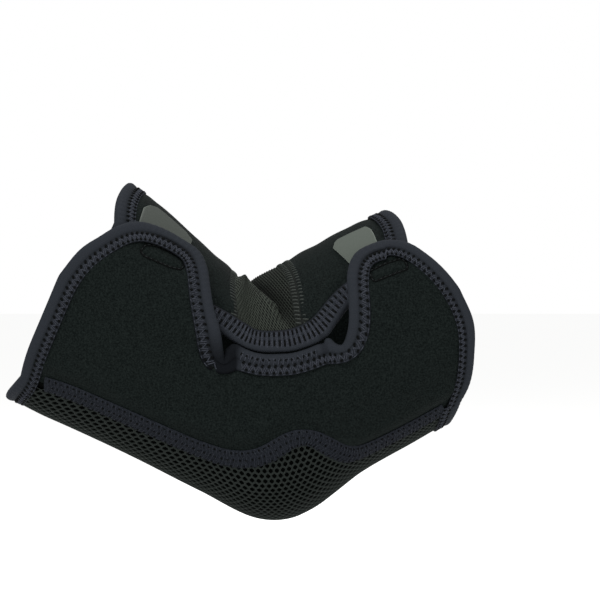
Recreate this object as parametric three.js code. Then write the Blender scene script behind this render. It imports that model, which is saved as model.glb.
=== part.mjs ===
// Elbow brace, worn on a bent right-angled arm: a wrap of neoprene with a mesh panel over the
// point of the elbow, a knitted panel in the crook, bound edges and two wings that close with
// grey hook tabs. Millimetres. +Z is up, the upper arm leaves towards -X, the forearm towards +X,
// and the wings close on the -Y side. The origin is the middle of the elbow joint.
//
// Every piece is a patch of cloth laid on the arm. A place on the arm is given by `along`, which
// runs from 0 at the upper cuff to 1 at the forearm cuff, and by `turn`, the angle round the arm
// in degrees: 0 on the crook side, 90 on the side of the wings, 180 at the point of the elbow.
import * as THREE from 'three';

// The arm inside the brace
const UPPER_REACH = 96; // from the bend to the upper cuff
const FORE_REACH = 76.4; // from the bend to the forearm cuff
const UPPER_SLOPE = 30; // degrees that the upper arm falls towards the elbow
const FORE_SLOPE = 29; // degrees that the forearm rises from the elbow
const UPPER_DEPTH = 93; // crook side to back of the arm, at the upper cuff
const ELBOW_DEPTH = 96;
const FORE_DEPTH = 85;
const UPPER_WIDTH = 84; // across the arm
const ELBOW_WIDTH = 79;
const FORE_WIDTH = 86;
const BEND_X = -7.9; // where the two legs of the arm's centre line meet
const BEND_Z = 15.4;

// The cloth
const NEOPRENE = 2.5;
const MESH = 2.5;
const KNIT = 2;
const TAPE = 0.6; // binding tape, one layer
const TAPE_WIDTH = 7; // how far the tape reaches in from an edge
const FLATLOCK = 0.6; // thickness of a flat sewn seam
const FLATLOCK_WIDTH = 8.5; // the seams beside the mesh
const KNIT_SEAM_WIDTH = 5; // the seams beside the knit
const SEAM_STOP = 4; // from the end of a seam to the binding that crosses it
const CLEARANCE = 0.3; // between pieces that lie on each other
const TAPE_ROOM = 0.6; // between the folded tape and the cloth inside it
const SLIT_ROOM = 3.6; // from a binding's end to the bottom of the slit beside the upper wing
const BUTT_GAP = 0.8; // between panels sewn edge to edge

// The hook tabs
const TAB = 0.8;

// How high a wing rides over the front panel: cloth, tab, its own tape, and the room between them
const LAP = NEOPRENE + TAB + TAPE + TAPE_ROOM + 3 * CLEARANCE;

// How a wing comes down to the arm behind the front edge. The lift fades over some degrees of
// turn, from `turn` on, and along the arm it goes from `full` to nothing at `none`.
const UPPER_WING_LIFT = { turn: 69, fade: 28, slitFade: 14, full: 0.396, none: 0.422 };
const SLIT_FADE = { from: 0.12, to: 0.36 }; // where the upper wing's fade narrows towards the slit
const FORE_WING_LIFT = { turn: 65, fade: 29, full: 0.81, none: 0.745 };

// The fold of the knit in the crook: a lobe that overhangs a crease. The crease starts at `along`
// in the middle of the crook and leans towards the forearm by `lean` on the way to `turn`.
const FOLD = { height: 3.2, along: 0.475, lean: 0.19, turn: 60, bend: 1.4 };
const FOLD_LOBE = { rise: 0.035, flat: 0.05, end: 0.17 }; // along the arm, from the crease
const FOLD_ENDS = { along: [0.452, 0.49], near: [40, 54], far: [-55, -42] };

// Cross sections of the arm. `reach` is a share of the leg's own reach, `tilt` the angle of the
// section's plane, and `egg` how much the section narrows towards the back of the elbow. `crest`
// and `heel` are how many mm the cloth stands fuller, or lies flatter, over the front and the back.
const SECTIONS = [
  { leg: 'upper', reach: 1.0, tilt: 61, depth: UPPER_DEPTH,
    width: UPPER_WIDTH, egg: 0, crest: 2, heel: 2.6 },
  { leg: 'upper', reach: 0.75, tilt: 68.5, depth: UPPER_DEPTH * 0.99,
    width: UPPER_WIDTH, egg: 0.02, crest: 1.6, heel: 0.3 },
  { leg: 'upper', reach: 0.5, tilt: 76, depth: UPPER_DEPTH * 0.97,
    width: UPPER_WIDTH * 0.98, egg: 0.05, crest: -0.3, heel: 0 },
  { leg: 'upper', reach: 0.27, tilt: 85, depth: ELBOW_DEPTH * 0.96,
    width: ELBOW_WIDTH * 1.01, egg: 0.09, crest: -2.2, heel: 0 },
  { leg: 'upper', reach: 0.07, tilt: 94, depth: ELBOW_DEPTH * 0.99,
    width: ELBOW_WIDTH, egg: 0.12, crest: -0.6, heel: 0 },
  { leg: 'fore', reach: 0.16, tilt: 99, depth: ELBOW_DEPTH,
    width: ELBOW_WIDTH * 1.01, egg: 0.12, crest: 1.2, heel: -0.4 },
  { leg: 'fore', reach: 0.43, tilt: 104, depth: FORE_DEPTH * 1.03,
    width: FORE_WIDTH * 0.97, egg: 0.08, crest: 3.6, heel: -0.5 },
  { leg: 'fore', reach: 0.72, tilt: 108, depth: FORE_DEPTH,
    width: FORE_WIDTH, egg: 0.04, crest: 3.9, heel: -0.2 },
  { leg: 'fore', reach: 1.0, tilt: 108.5, depth: FORE_DEPTH * 0.975,
    width: FORE_WIDTH, egg: 0, crest: 2.6, heel: 0.2 },
];

// Outlines on the near side, from the upper cuff to the forearm cuff
const MESH_SEAM = [
  { along: 0.016, turn: 142.5 }, { along: 0.1, turn: 136.5 }, { along: 0.2, turn: 134.5 },
  { along: 0.3, turn: 132.3 }, { along: 0.4, turn: 128.8 }, { along: 0.48, turn: 121 },
  { along: 0.54, turn: 116 }, { along: 0.6, turn: 111.3 }, { along: 0.655, turn: 114 },
  { along: 0.7, turn: 128.5 }, { along: 0.745, turn: 143 }, { along: 0.82, turn: 146.3 },
  { along: 0.9, turn: 147.3 }, { along: 1, turn: 148 },
];
const FRONT_EDGE = [
  { along: 0.095, turn: 64 }, { along: 0.13, turn: 67.5 }, { along: 0.22, turn: 68 },
  { along: 0.31, turn: 66 }, { along: 0.4, turn: 63.8 }, { along: 0.49, turn: 63.2 },
  { along: 0.58, turn: 66.5 }, { along: 0.66, turn: 70 }, { along: 0.735, turn: 71.5 },
  { along: 0.775, turn: 67.5 }, { along: 0.82, turn: 62.5 }, { along: 0.88, turn: 60.5 },
  { along: 0.95, turn: 62 }, { along: 0.99, turn: 59 },
];
const UPPER_WING_EDGE = [
  { along: -0.004, turn: 84.3 }, { along: 0.009, turn: 70.7 }, { along: 0.034, turn: 60.6 },
  { along: 0.058, turn: 51.8 }, { along: 0.095, turn: 44.3 }, { along: 0.152, turn: 39.5 },
  { along: 0.208, turn: 37.1 }, { along: 0.262, turn: 36.7 }, { along: 0.298, turn: 42.9 },
  { along: 0.323, turn: 51.8 }, { along: 0.347, turn: 60.3 }, { along: 0.379, turn: 68.6 },
  { along: 0.409, turn: 79 },
];
const FORE_WING_EDGE = [
  { along: 0.748, turn: 74.5 }, { along: 0.762, turn: 79.8 }, { along: 0.783, turn: 82.3 },
  { along: 0.805, turn: 78.3 }, { along: 0.823, turn: 71.7 }, { along: 0.837, turn: 62.8 },
  { along: 0.851, turn: 52.5 }, { along: 0.882, turn: 45.2 }, { along: 0.925, turn: 44.6 },
  { along: 0.965, turn: 46.8 }, { along: 1.006, turn: 53.8 }, { along: 1.039, turn: 65.0 },
  { along: 1.063, turn: 75.3 }, { along: 1.078, turn: 84.6 },
];
// The side panel is sewn to the front edge between the wings, past the slit beside the upper wing
const SLIT_END = 0.418;
const CROOK_START = 0.424;
const CROOK_END = 0.742;

// Outlines round the arm, from the far mesh seam over the crook to the front edge
const UPPER_CUFF = [
  { along: 0.016, turn: -142.5 }, { along: 0.014, turn: -108 }, { along: 0.013, turn: -73 },
  { along: 0.012, turn: -38 }, { along: 0.011, turn: -3 }, { along: 0.02, turn: 31 },
  { along: 0.095, turn: 64 },
];
const KNIT_UPPER_SIDE = [
  { along: 0.44, turn: -125 }, { along: 0.437, turn: -98 }, { along: 0.434, turn: -68 },
  { along: 0.43, turn: -36 }, { along: 0.424, turn: -3 }, { along: 0.427, turn: 31 },
  { along: 0.452, turn: 64.3 },
];
const KNIT_FORE_SIDE = [
  { along: 0.68, turn: -121 }, { along: 0.69, turn: -97 }, { along: 0.7, turn: -68 },
  { along: 0.69, turn: -36 }, { along: 0.668, turn: -3 }, { along: 0.698, turn: 34 },
  { along: 0.69, turn: 71.7 },
];
const FORE_CUFF = [
  { along: 1, turn: -148 }, { along: 1.01, turn: -110 }, { along: 1.01, turn: -74 },
  { along: 1.0, turn: -39 }, { along: 0.984, turn: -3 }, { along: 1.005, turn: 30 },
  { along: 0.99, turn: 59 },
];
// The wings' side of the forearm cuff, from the mesh seam up to the wing
const SIDE_FORE_CUFF = [
  { along: 1, turn: 148 }, { along: 1.033, turn: 137.0 }, { along: 1.061, turn: 121.6 },
  { along: 1.084, turn: 103.8 }, { along: 1.078, turn: 84.6 },
];
const SIDE_UPPER_CUFF = [
  { along: 0.016, turn: 142.5 }, { along: 0.009, turn: 125.3 }, { along: 0.004, turn: 105.3 },
  { along: -0.004, turn: 84.3 },
];
// Hook tabs, from the free end to the end sewn under the wing
const UPPER_TAB = [
  { turn: 16.5, start: 0.118, end: 0.21 }, { turn: 20, start: 0.096, end: 0.24 },
  { turn: 26, start: 0.085, end: 0.242 }, { turn: 37, start: 0.093, end: 0.243 },
  { turn: 53, start: 0.128, end: 0.244 },
];
const FORE_TAB = [
  { turn: 20.5, start: 0.85, end: 0.925 }, { turn: 22.5, start: 0.838, end: 0.93 },
  { turn: 26.5, start: 0.83, end: 0.936 }, { turn: 33, start: 0.84, end: 0.938 },
  { turn: 41, start: 0.853, end: 0.938 }, { turn: 50, start: 0.868, end: 0.936 },
];
const SEAM_START = MESH_SEAM[0].along; // where the side panel and the mesh meet at the upper cuff
const MESH_FORE_END = 0.965; // the mesh panel's shorter end, at the point of the elbow
const WINDOW_ROW = 8; // grid row where the far side's cut-out for the knit starts

// How finely each piece is divided
const SIDE_ROW_BIAS = 1.35; // above 1, the side panel's rows lie closer together at the wings
const ROWS = { side: 14, front: 18, mesh: 8, knit: 10 };
const COLUMNS = { upper: 9, knit: 8, fore: 10, mesh: 40 };
const KNIT_FINER = 3; // columns of the knit to each column of the cut-out

const radians = THREE.MathUtils.degToRad;
const smooth = THREE.MathUtils.smoothstep;
const lerp = THREE.MathUtils.lerp;

function spread(count) {
  return Array.from({ length: count + 1 }, (_, i) => i / count);
}

// A value between table rows, on a smooth curve through them; past an end it runs on straight
function between(rows, key, share) {
  const last = rows.length - 1;
  const x = share * last;
  const i = Math.min(Math.max(Math.floor(x), 0), last - 1);
  const f = x - i;
  const b = rows[i][key];
  const c = rows[i + 1][key];
  if (x < 0 || x > last) return b + (c - b) * f;
  const a = i > 0 ? rows[i - 1][key] : 2 * b - c;
  const d = i + 2 <= last ? rows[i + 2][key] : 2 * c - b;
  return b + 0.5 * f * (c - a + f * (2 * a - 5 * b + 4 * c - d + f * (3 * (b - c) + d - a)));
}

function trace(rows, share) {
  return { along: between(rows, 'along', share), turn: between(rows, 'turn', share) };
}

// The turn of an outline where it passes a given `along`
function turnAt(rows, along) {
  let low = 0;
  let high = 1;
  for (let step = 0; step < 30; step++) {
    const middle = (low + high) / 2;
    if (between(rows, 'along', middle) < along) low = middle;
    else high = middle;
  }
  return between(rows, 'turn', low);
}

// A place on the near mesh seam, at a share of its way from cuff to cuff
function seamPlace(share) {
  const along = lerp(SEAM_START, 1, share);
  return { along, turn: turnAt(MESH_SEAM, along) };
}

const CENTRES = SECTIONS.map((row) => {
  const upper = row.leg === 'upper';
  const out = row.reach * (upper ? UPPER_REACH : FORE_REACH);
  const slope = radians(upper ? 180 - UPPER_SLOPE : FORE_SLOPE);
  return { ...row, x: BEND_X + out * Math.cos(slope), z: BEND_Z + out * Math.sin(slope) };
});

function skin(along, turn) {
  const [x, z, tilt, depth, width, egg, crest, heel] = [
    'x', 'z', 'tilt', 'depth', 'width', 'egg', 'crest', 'heel',
  ].map((key) => between(CENTRES, key, along));
  const angle = radians(turn);
  const plane = radians(tilt);
  const front = Math.cos(angle);
  const rise = (front * depth) / 2
    + crest * Math.max(front, 0) ** 3 - heel * Math.max(-front, 0) ** 3;
  return new THREE.Vector3(
    x + Math.cos(plane) * rise,
    (-Math.sin(angle) * (1 + egg * Math.cos(angle)) * width) / 2,
    z + Math.sin(plane) * rise);
}

// Small steps for measuring slopes on the arm
const DELTA_ALONG = 0.002;
const DELTA_TURN = 0.3;

function slopes(along, turn) {
  const lengthwise = skin(along + DELTA_ALONG, turn)
    .sub(skin(along - DELTA_ALONG, turn)).divideScalar(2 * DELTA_ALONG);
  const round = skin(along, turn + DELTA_TURN)
    .sub(skin(along, turn - DELTA_TURN)).divideScalar(2 * DELTA_TURN);
  return { lengthwise, round, out: round.clone().cross(lengthwise).normalize() };
}

// The point `height` mm above the arm
function above(place, height) {
  return skin(place.along, place.turn).addScaledVector(slopes(place.along, place.turn).out, height);
}

// The place reached from `place` by going `distance` mm square to an edge, into the cloth
function inward(place, edge, distance) {
  const { lengthwise, round, out } = slopes(place.along, place.turn);
  const heading = lengthwise.clone().multiplyScalar(edge.along)
    .addScaledVector(round, edge.turn).normalize();
  const aim = out.clone().cross(heading).multiplyScalar(distance);
  const ll = lengthwise.lengthSq();
  const rr = round.lengthSq();
  const lr = lengthwise.dot(round);
  const a = aim.dot(lengthwise);
  const b = aim.dot(round);
  const det = ll * rr - lr * lr;
  return {
    along: place.along + (a * rr - b * lr) / det,
    turn: place.turn + (b * ll - a * lr) / det,
  };
}

function alongFor(place, distance) {
  return distance / slopes(place.along, place.turn).lengthwise.length();
}

function turnFor(place, distance) {
  return distance / slopes(place.along, place.turn).round.length();
}

// How far the side panel is lifted off the arm: the wings ride over the front panel
function fadeOut(value, start, width) {
  return 1 - smooth(value, start, start + width);
}

function lift({ along, turn }) {
  const upper = UPPER_WING_LIFT;
  const upperFade = lerp(upper.fade, upper.slitFade, smooth(along, SLIT_FADE.from, SLIT_FADE.to));
  const onUpper = 1 - smooth(along, upper.full, upper.none);
  const onFore = smooth(along, FORE_WING_LIFT.none, FORE_WING_LIFT.full);
  return LAP * (onUpper * fadeOut(turn, upper.turn, upperFade)
    + onFore * fadeOut(turn, FORE_WING_LIFT.turn, FORE_WING_LIFT.fade));
}

// How far the knit stands off the arm: it folds over itself along the crease
function fold({ along, turn }) {
  const lean = FOLD.lean * Math.pow(Math.min(Math.abs(turn) / FOLD.turn, 1), FOLD.bend);
  const past = FOLD.along + lean - along;
  const lobe = smooth(past, 0, FOLD_LOBE.rise) * (1 - smooth(past, FOLD_LOBE.flat, FOLD_LOBE.end));
  return FOLD.height * lobe * smooth(along, ...FOLD_ENDS.along)
    * (1 - smooth(turn, ...FOLD_ENDS.near)) * smooth(turn, ...FOLD_ENDS.far);
}

// A closed solid from triangles that share their corners
function solid(points, faces) {
  const geometry = new THREE.BufferGeometry();
  const places = points.flatMap((point) => point.toArray());
  geometry.setAttribute('position', new THREE.Float32BufferAttribute(places, 3));
  geometry.setIndex(faces.flat());
  geometry.computeVertexNormals();
  return geometry;
}

// A wall of cloth over a grid of places. `has` says which cells of the grid hold cloth.
function cloth(grid, bottom, top, has = () => true) {
  const columns = grid.length - 1;
  const rows = grid[0].length - 1;
  const filled = (i, j) => i >= 0 && j >= 0 && i < columns && j < rows && has(i, j);
  const points = [];
  const number = new Map();
  const corner = (i, j, side) => {
    const key = `${i},${j},${side}`;
    if (!number.has(key)) {
      number.set(key, points.length);
      const height = side ? top : bottom;
      points.push(above(grid[i][j], typeof height === 'function' ? height(grid[i][j]) : height));
    }
    return number.get(key);
  };
  const faces = [];
  const quad = (a, b, c, d) => faces.push([a, b, c], [a, c, d]);
  for (let i = 0; i < columns; i++) {
    for (let j = 0; j < rows; j++) {
      if (!filled(i, j)) continue;
      quad(corner(i, j, 1), corner(i + 1, j, 1), corner(i + 1, j + 1, 1), corner(i, j + 1, 1));
      quad(corner(i, j, 0), corner(i, j + 1, 0), corner(i + 1, j + 1, 0), corner(i + 1, j, 0));
      const sides = [
        [filled(i - 1, j), [i, j + 1], [i, j]], [filled(i + 1, j), [i + 1, j], [i + 1, j + 1]],
        [filled(i, j - 1), [i, j], [i + 1, j]], [filled(i, j + 1), [i + 1, j + 1], [i, j + 1]],
      ];
      for (const [joined, p, q] of sides) {
        if (!joined) quad(corner(...p, 0), corner(...q, 0), corner(...q, 1), corner(...p, 1));
      }
    }
  }
  return solid(points, faces);
}

// A grid of places between four outlines that meet at their corners
function patch(bottom, top, left, right, shares, rowShares) {
  const mix = (key, s, w) => (1 - w) * bottom(s)[key] + w * top(s)[key]
    + (1 - s) * left(w)[key] + s * right(w)[key]
    - (1 - s) * (1 - w) * bottom(0)[key] - s * (1 - w) * bottom(1)[key]
    - (1 - s) * w * top(0)[key] - s * w * top(1)[key];
  return shares.map((s) => rowShares.map((w) => ({ along: mix('along', s, w), turn: mix('turn', s, w) })));
}

// Part of an outline, from one `along` to another
function stretch(rows, start, end, sign = 1) {
  return (s) => {
    const along = lerp(start, end, s);
    return { along, turn: sign * turnAt(rows, along) };
  };
}

// The run of an outline beside each of its places
function headings(places) {
  return places.map((_, i) => {
    const before = places[Math.max(i - 1, 0)];
    const after = places[Math.min(i + 1, places.length - 1)];
    return { along: after.along - before.along, turn: after.turn - before.turn };
  });
}

// Binding tape folded over a raw edge: a channel whose two legs lie on both faces of the cloth.
// `places` run with the cloth on their left as seen from outside the arm.
function binding(places, thickness = NEOPRENE, height = () => 0) {
  const edge = -TAPE_ROOM - TAPE;
  const face = thickness + TAPE_ROOM;
  const profile = [
    [TAPE_WIDTH, face + TAPE], [edge, face + TAPE], [edge, edge], [TAPE_WIDTH, edge],
    [TAPE_WIDTH, -TAPE_ROOM], [-TAPE_ROOM, -TAPE_ROOM], [-TAPE_ROOM, face], [TAPE_WIDTH, face],
  ];
  const runs = headings(places);
  const points = places.flatMap((place, i) => profile.map(([depth, level]) => {
    const spot = inward(place, runs[i], depth);
    return above(spot, level + height(inward(place, runs[i], Math.max(depth, 0))));
  }));
  const n = profile.length;
  const last = (places.length - 1) * n;
  const faces = [];
  for (let start = 0; start < last; start += n) {
    for (let k = 0; k < n; k++) {
      const a = start + k;
      const b = start + ((k + 1) % n);
      faces.push([a, b, b + n], [a, b + n, a + n]);
    }
  }
  const outline = profile.map(([x, y]) => new THREE.Vector2(x, y));
  for (const [a, b, c] of THREE.ShapeUtils.triangulateShape(outline, [])) {
    faces.push([a, c, b], [last + a, last + b, last + c]);
  }
  return solid(points, faces);
}

// A flat sewn seam: a band of thread laid over the join between two panels
function flatlock(places, width, beside) {
  const runs = headings(places);
  const grid = places.map((place, i) => [-width / 2, 0, width / 2].map(
    (across) => inward(place, runs[i], across)));
  const level = Math.max(NEOPRENE, beside) + CLEARANCE;
  return cloth(grid, level, level + FLATLOCK);
}

// Places with the ends of an outline cut back by `start` and `end` mm
function trimmed(places, start, end) {
  const cut = (list, length) => {
    let left = length;
    let i = 0;
    const gap = () => above(list[i], 0).distanceTo(above(list[i + 1], 0));
    while (gap() <= left) {
      left -= gap();
      i++;
    }
    const f = left / gap();
    const first = {
      along: lerp(list[i].along, list[i + 1].along, f),
      turn: lerp(list[i].turn, list[i + 1].turn, f),
    };
    return [first, ...list.slice(i + 1)];
  };
  return cut(cut(places, start).reverse(), end).reverse();
}

function material(red, green, blue, roughness) {
  return new THREE.MeshStandardMaterial({
    color: new THREE.Color(red, green, blue), roughness, metalness: 0,
  });
}

const neoprene = material(0.012, 0.014, 0.014, 0.85);
const mesh = material(0.016, 0.02, 0.018, 0.8);
const knit = material(0.03, 0.035, 0.032, 0.9);
const tape = material(0.025, 0.027, 0.038, 0.85);
const thread = material(0.03, 0.032, 0.044, 0.8);
const grey = material(0.12, 0.13, 0.125, 0.5);

const brace = new THREE.Group();

function add(name, geometry, finish) {
  const piece = new THREE.Mesh(geometry, finish);
  piece.name = name;
  brace.add(piece);
}

// Side panel: one cut of neoprene from the mesh seam to the two wings
const joint = BUTT_GAP + 2 * (TAPE_ROOM + TAPE); // between the front edge and the crook edge
const crook = spread(8).map((s) => {
  const place = stretch(FRONT_EDGE, CROOK_START, CROOK_END)(s);
  return { along: place.along, turn: place.turn + turnFor(place, joint) };
});
const upperWing = spread(17).map((s) => trace(UPPER_WING_EDGE, s));
const slitBottom = { along: SLIT_END, turn: UPPER_WING_EDGE.at(-1).turn };
const foreWing = spread(21).map((s) => trace(FORE_WING_EDGE, s));
const sideTop = [...upperWing, slitBottom, ...crook, ...foreWing];

const sideShares = spread(ROWS.side).map((w) => 1 - Math.pow(1 - w, SIDE_ROW_BIAS));

function sideGrid() {
  const start = sideTop[0].along;
  const whole = sideTop.at(-1).along - start;
  const bulge = (rows, w, key) => between(rows, key, w) - lerp(rows[0][key], rows.at(-1)[key], w);
  return sideTop.map((high) => {
    const s = (high.along - start) / whole;
    const seam = seamPlace(s);
    const low = { along: seam.along, turn: seam.turn - turnFor(seam, BUTT_GAP / 2) };
    const place = (key, w) => lerp(low[key], high[key], w)
      + (1 - s) * bulge(SIDE_UPPER_CUFF, w, key) + s * bulge(SIDE_FORE_CUFF, w, key);
    return sideShares.map((w) => ({ along: place('along', w), turn: place('turn', w) }));
  });
}

// The three blocks of the front: neoprene, knit, neoprene
function fitted(rows) {
  const ends = [-turnAt(MESH_SEAM, rows[0].along), turnAt(FRONT_EDGE, rows.at(-1).along)];
  return rows.map((row, i) => {
    if (i === 0) return { ...row, turn: ends[0] };
    return i === rows.length - 1 ? { ...row, turn: ends[1] } : row;
  });
}
const borders = [UPPER_CUFF, KNIT_UPPER_SIDE, KNIT_FORE_SIDE, FORE_CUFF].map(fitted);

function frontGrid(block, shares, rowShares) {
  const [left, right] = [borders[block], borders[block + 1]];
  return patch(
    stretch(MESH_SEAM, left[0].along, right[0].along, -1),
    stretch(FRONT_EDGE, left.at(-1).along, right.at(-1).along),
    (w) => trace(left, w), (w) => trace(right, w), shares, rowShares);
}

// Far panel: from the far mesh seam over the crook side to the front edge under the wings,
// with a cut-out in the crook for the knit
function farGrid() {
  const grids = [COLUMNS.upper, COLUMNS.knit, COLUMNS.fore].map(
    (columns, block) => frontGrid(block, spread(columns), spread(ROWS.front)));
  const grid = [...grids[0], ...grids[1].slice(1), ...grids[2].slice(1)];
  for (const column of grid) {
    column[0] = { ...column[0], turn: column[0].turn + turnFor(column[0], BUTT_GAP / 2) };
  }
  return grid;
}

function inWindow(i, row) {
  return i >= COLUMNS.upper && i < COLUMNS.upper + COLUMNS.knit && row >= WINDOW_ROW;
}

// Knit insert: stretch cloth in the crook, folded where the arm bends
function knitInsert() {
  const start = WINDOW_ROW / ROWS.front;
  const rowShares = spread(ROWS.knit).map((w) => lerp(start, 1, w));
  const grid = frontGrid(1, spread(COLUMNS.knit * KNIT_FINER), rowShares);
  const inset = (place, key, distance) => ({ ...place, [key]: place[key] + distance });
  grid.forEach((column) => {
    column[0] = inset(column[0], 'turn', turnFor(column[0], BUTT_GAP));
  });
  grid[0] = grid[0].map((place) => inset(place, 'along', alongFor(place, BUTT_GAP)));
  const last = grid.length - 1;
  grid[last] = grid[last].map((place) => inset(place, 'along', -alongFor(place, BUTT_GAP)));
  return cloth(grid.map((column) => column.reverse()), fold, (place) => KNIT + fold(place));
}

// Mesh panel: round the back of the elbow from one seam to the other, shorter at the forearm end
// and longer at the upper cuff
function meshGrid() {
  return spread(COLUMNS.mesh).map((s) => {
    const seam = seamPlace(s);
    const start = seam.turn + turnFor(seam, BUTT_GAP / 2);
    return spread(ROWS.mesh).map((w) => {
      const middle = Math.sin(Math.PI * w);
      return {
        along: lerp(SEAM_START * (1 - middle), lerp(1, MESH_FORE_END, middle), s),
        turn: lerp(start, 360 - start, w),
      };
    });
  });
}

// A hook tab: smooth plastic hooks on the front panel, its corners cut off
function tab(rows) {
  const at = (turn, key) => {
    const i = Math.max(1, rows.findIndex((row) => row.turn >= turn));
    const f = (turn - rows[i - 1].turn) / (rows[i].turn - rows[i - 1].turn);
    return lerp(rows[i - 1][key], rows[i][key], f);
  };
  const steps = rows.slice(1).flatMap((row, i) => spread(2).slice(i ? 1 : 0)
    .map((f) => lerp(rows[i].turn, row.turn, f)));
  const level = NEOPRENE + CLEARANCE;
  const grid = spread(5).map((s) => steps.map(
    (turn) => ({ along: lerp(at(turn, 'start'), at(turn, 'end'), s), turn })).reverse());
  return cloth(grid, level, level + TAB);
}

const side = sideGrid();
const far = farGrid();
const back = meshGrid();

add('side_panel', cloth(side, lift, (place) => NEOPRENE + lift(place)), neoprene);
add('far_panel', cloth(far.map((column) => column.slice().reverse()), 0, NEOPRENE,
  (i, j) => !inWindow(i, ROWS.front - 1 - j)), neoprene);
add('knit_insert', knitInsert(), knit);
add('mesh_panel', cloth(back.map((column) => column.slice().reverse()), 0, MESH), mesh);
add('upper_tab', tab(UPPER_TAB), grey);
add('forearm_tab', tab(FORE_TAB), grey);

// Bindings. Each ends short of the piece that it meets.
const sideTopRow = side.map((column) => column.at(-1));
const slit = upperWing.length;
const upperRun = [...sideTopRow.slice(0, slit).reverse(), ...side[0].slice(0, -1).reverse()];
add('upper_wing_binding', binding(trimmed(upperRun, SLIT_ROOM, BUTT_GAP), NEOPRENE, lift), tape);
const foreRun = [...side.at(-1), ...sideTopRow.slice(slit + 1, -1).reverse()];
add('forearm_wing_binding', binding(trimmed(foreRun, BUTT_GAP, SLIT_ROOM), NEOPRENE, lift), tape);

const thickest = Math.max(NEOPRENE, MESH);
const wholeTurn = (place) => ({ ...place, turn: place.turn + 360 });
const upperCuff = [...back[0], ...far[0].slice(1).map(wholeTurn)];
add('upper_cuff_binding', binding(trimmed(upperCuff, BUTT_GAP, 0), thickest), tape);
const foreCuff = [...back.at(-1), ...far.at(-1).slice(1).map(wholeTurn)];
add('forearm_cuff_binding', binding(trimmed(foreCuff, BUTT_GAP, 0).reverse(), thickest), tape);

const cornerRoom = TAPE_WIDTH + BUTT_GAP;
const frontEdge = far.map((column) => column.at(-1));
add('front_edge_binding', binding(trimmed(frontEdge, cornerRoom, cornerRoom)), tape);

// Seams, each ending at the bindings that it meets
const seamRoom = TAPE_WIDTH + SEAM_STOP;
const seamLine = spread(COLUMNS.mesh).map(seamPlace);
const farSeamLine = seamLine.map((place) => ({ ...place, turn: -place.turn }));
add('near_mesh_seam',
  flatlock(trimmed(seamLine, seamRoom, seamRoom), FLATLOCK_WIDTH, MESH), thread);
add('far_mesh_seam',
  flatlock(trimmed(farSeamLine, seamRoom, seamRoom), FLATLOCK_WIDTH, MESH), thread);
const windowStart = WINDOW_ROW / ROWS.front;
const windowSide = (rows) => spread(ROWS.knit).map((w) => trace(rows, lerp(windowStart, 1, w)));
add('knit_upper_seam',
  flatlock(trimmed(windowSide(borders[1]), seamRoom, seamRoom), KNIT_SEAM_WIDTH, KNIT), thread);
add('knit_forearm_seam',
  flatlock(trimmed(windowSide(borders[2]), seamRoom, seamRoom), KNIT_SEAM_WIDTH, KNIT), thread);

export default brace;
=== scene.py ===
import bpy
import numpy as np
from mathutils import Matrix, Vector


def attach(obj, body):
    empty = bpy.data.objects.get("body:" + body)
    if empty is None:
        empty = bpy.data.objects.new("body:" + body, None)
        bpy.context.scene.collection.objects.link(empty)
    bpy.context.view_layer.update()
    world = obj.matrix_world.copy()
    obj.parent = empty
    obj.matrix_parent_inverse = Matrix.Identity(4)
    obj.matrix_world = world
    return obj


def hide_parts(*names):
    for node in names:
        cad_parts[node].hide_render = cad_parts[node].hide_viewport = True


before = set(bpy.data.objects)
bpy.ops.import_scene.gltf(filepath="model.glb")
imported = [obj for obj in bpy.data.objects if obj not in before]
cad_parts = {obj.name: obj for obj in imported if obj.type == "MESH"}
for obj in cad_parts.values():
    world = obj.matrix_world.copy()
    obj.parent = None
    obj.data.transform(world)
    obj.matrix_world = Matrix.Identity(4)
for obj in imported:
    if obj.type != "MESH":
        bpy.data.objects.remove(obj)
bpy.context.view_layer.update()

# Far panel.
# One cut of foam neoprene faced with black jersey. It starts at the mesh seam on the far side,
# goes over the crook and ends under the wings, and it has a cut-out in the crook for the knit.
# The brace takes its form from a bent arm. A place on it is given by `along`, from the upper cuff,
# 0, to the forearm cuff, 1, and by `turn`, in degrees round the arm: 0 in the crook, 90 on the
# side of the wings, 180 at the point of the elbow. Sizes are in millimetres until a mesh is made.
MM = 0.001
NEOPRENE = 2.5
UPPER_REACH, FORE_REACH = 96, 76.4  # from the bend of the arm's middle line to each cuff
UPPER_SLOPE, FORE_SLOPE = 30, 29  # degrees that each leg rises from the bend
BEND_X, BEND_Z = -7.9, 15.4
# leg, share of its reach, tilt, depth, width, how much narrower the back of the elbow is, and how
# much fuller the cloth stands over the front and over the back
ARM = [
    ("upper", 1.00, 61.0, 93.0, 84.0, 0.00, 2.0, 2.6),
    ("upper", 0.75, 68.5, 92.1, 84.0, 0.02, 1.6, 0.3),
    ("upper", 0.50, 76.0, 90.2, 82.3, 0.05, -0.3, 0.0),
    ("upper", 0.27, 85.0, 92.2, 79.8, 0.09, -2.2, 0.0),
    ("upper", 0.07, 94.0, 95.0, 79.0, 0.12, -0.6, 0.0),
    ("fore", 0.16, 99.0, 96.0, 79.8, 0.12, 1.2, -0.4),
    ("fore", 0.43, 104.0, 87.6, 83.4, 0.08, 3.6, -0.5),
    ("fore", 0.72, 108.0, 85.0, 86.0, 0.04, 3.9, -0.2),
    ("fore", 1.00, 108.5, 82.9, 86.0, 0.00, 2.6, 0.2),
]


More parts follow.
